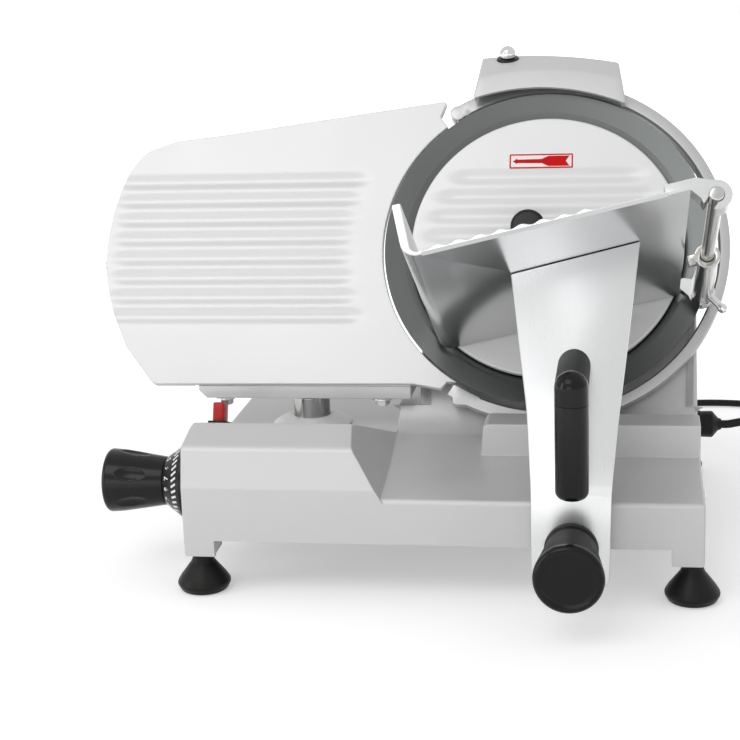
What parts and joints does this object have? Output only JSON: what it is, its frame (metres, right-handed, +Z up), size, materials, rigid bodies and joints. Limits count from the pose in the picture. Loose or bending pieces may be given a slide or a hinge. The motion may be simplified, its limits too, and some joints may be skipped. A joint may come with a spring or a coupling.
{
  "type": "meat slicer",
  "caption": "Gravity-feed slicer: leaning round blade in a guard ring, gauge plate set by a dial, tray on a sliding arm with handle.",
  "frame": {"origin": "middle of the machine's own footprint, on the plane under its feet; the cord is left aside", "axes": "+Z up, +X to the right of the user along the carriage's travel, +Y away from the user"},
  "size_m": [0.6265, 0.5841, 0.362],
  "materials": {
    "casting": "polished cast aluminium",
    "plate": "anodised aluminium with a soft sheen",
    "steel": "ground stainless steel",
    "chrome": "bright chrome",
    "dark_steel": "dark oiled steel",
    "black": "black moulded plastic",
    "rubber": "black rubber",
    "red": "red moulded plastic",
    "stone": "bonded abrasive",
    "sheet": "grey sheet steel"
  },
  "bodies": {
    "machine": {"base_casting": "casting", "base_cover": "sheet", "rear_cover": "sheet", "rear_cover_screw_left": "steel", "rear_cover_screw_right": "steel", "side_screw": "steel", "foot_front_left": "rubber", "foot_front_right": "rubber", "foot_rear_left": "rubber", "foot_rear_right": "rubber", "bearing_housing": "casting", "front_bearing": "dark_steel", "rear_bearing": "dark_steel", "motor_body": "dark_steel", "drive_belt": "rubber", "guard_ring": "casting", "blade_cover": "plate", "cover_tie_rod": "dark_steel", "guide_rod_left": "steel", "guide_rod_right": "steel", "slide_rod": "steel", "guide_bar": "steel", "switch_bezel": "black", "cord_gland": "black", "power_cord": "rubber", "cord_coil": "rubber", "power_plug": "black"},
    "carriage": {"tray": "plate", "tray_screw_left": "steel", "tray_screw_right": "steel", "pusher_rod": "steel", "support_arm": "casting", "arm_handle": "black", "carriage_trolley": "casting"},
    "sleeve": {"rod_sleeve": "steel"},
    "lever": {"lever_pin": "steel"},
    "clamp": {"clamp_knob": "black"},
    "blade_rotor": {"blade": "steel", "blade_shaft": "dark_steel", "blade_pulley": "casting"},
    "motor_rotor": {"motor_pulley": "dark_steel"},
    "cover_knob": {"cover_knob": "black"},
    "dial": {"thickness_knob": "black", "dial_ring": "black", "knob_shaft": "dark_steel"},
    "gauge": {"gauge_plate": "plate", "gauge_bar": "casting", "gauge_bolt_left": "steel", "gauge_bolt_right": "steel", "gauge_column": "steel", "dome_cover": "steel", "gauge_slider": "casting"},
    "sharpener": {"sharpener_housing": "casting", "sharpener_washer": "black"},
    "sharpener_knob": {"sharpener_knob": "chrome"},
    "grinding_button": {"grinding_shaft": "black"},
    "truing_button": {"truing_shaft": "black"},
    "grinding_wheel": {"grinding_stone": "stone"},
    "truing_wheel": {"truing_stone": "stone"},
    "switch": {"switch_button": "red"}
  },
  "joints": [
    {"name": "carriage_slide", "type": "slide", "parent": "machine", "child": "carriage", "axis": [1, 0, 0], "range_m": [-0.215, 0.01]},
    {"name": "clamp_turn", "type": "hinge", "parent": "carriage", "child": "clamp", "pos_m": [0.1311, -0.17685, 0.0482], "axis": [0, -1, 0], "range_deg": [0, 180]},
    {"name": "sleeve_slide", "type": "slide", "parent": "carriage", "child": "sleeve", "axis": [0, -0.8746, 0.4848], "range_m": [0, 0.105]},
    {"name": "lever_turn", "type": "hinge", "parent": "sleeve", "child": "lever", "pos_m": [0.22144, 0.01539, 0.19172], "axis": [0.682, -0.3546, -0.6397], "range_deg": [0, 90]},
    {"name": "blade_spin", "type": "hinge", "parent": "machine", "child": "blade_rotor", "pos_m": [0.1061, 0.06315, 0.216], "axis": [0, -0.8746, 0.4848], "continuous": true},
    {"name": "motor_spin", "type": "hinge", "parent": "machine", "child": "motor_rotor", "pos_m": [0.1511, 0.07294, 0.13054], "axis": [0, -0.8746, 0.4848], "continuous": true},
    {"name": "cover_knob_turn", "type": "hinge", "parent": "machine", "child": "cover_knob", "pos_m": [0.0931, 0.0578, 0.22697], "axis": [0, -0.8746, 0.4848], "range_deg": [0, 360]},
    {"name": "thickness_turn", "type": "hinge", "parent": "machine", "child": "dial", "pos_m": [-0.1839, -0.07685, 0.0692], "axis": [-1, 0, 0], "range_deg": [0, 300]},
    {"name": "gauge_travel", "type": "slide", "parent": "machine", "child": "gauge", "axis": [0, 1, 0], "range_m": [0, 0.0135]},
    {"name": "sharpener_lift", "type": "slide", "parent": "machine", "child": "sharpener", "axis": [0, 0.4848, 0.8746], "range_m": [0, 0.022]},
    {"name": "sharpener_knob_turn", "type": "hinge", "parent": "sharpener", "child": "sharpener_knob", "pos_m": [0.0726, 0.14824, 0.35503], "axis": [0, -0.2716, 0.9624], "range_deg": [0, 360]},
    {"name": "grinding_push", "type": "slide", "parent": "sharpener", "child": "grinding_button", "axis": [0, -0.8746, 0.4848], "range_m": [0, 0.004], "stiffness_N_per_m": 400},
    {"name": "truing_push", "type": "slide", "parent": "sharpener", "child": "truing_button", "axis": [0, -0.8746, 0.4848], "range_m": [0, 0.004], "stiffness_N_per_m": 400},
    {"name": "grinding_spin", "type": "hinge", "parent": "grinding_button", "child": "grinding_wheel", "pos_m": [0.0881, 0.15077, 0.30806], "axis": [0, -0.8746, 0.4848], "continuous": true},
    {"name": "truing_spin", "type": "hinge", "parent": "truing_button", "child": "truing_wheel", "pos_m": [0.1301, 0.15077, 0.30806], "axis": [0, -0.8746, 0.4848], "continuous": true},
    {"name": "switch_press", "type": "slide", "parent": "machine", "child": "switch", "axis": [0, -0.3439, -0.939], "range_m": [0, 0.0025], "stiffness_N_per_m": 400}
  ],
  "couplings": [
    {"joint": "motor_spin", "follows": "blade_spin", "ratio": 2.8571},
    {"joint": "thickness_turn", "follows": "gauge_travel", "rad_per_m": 387.85}
  ]
}
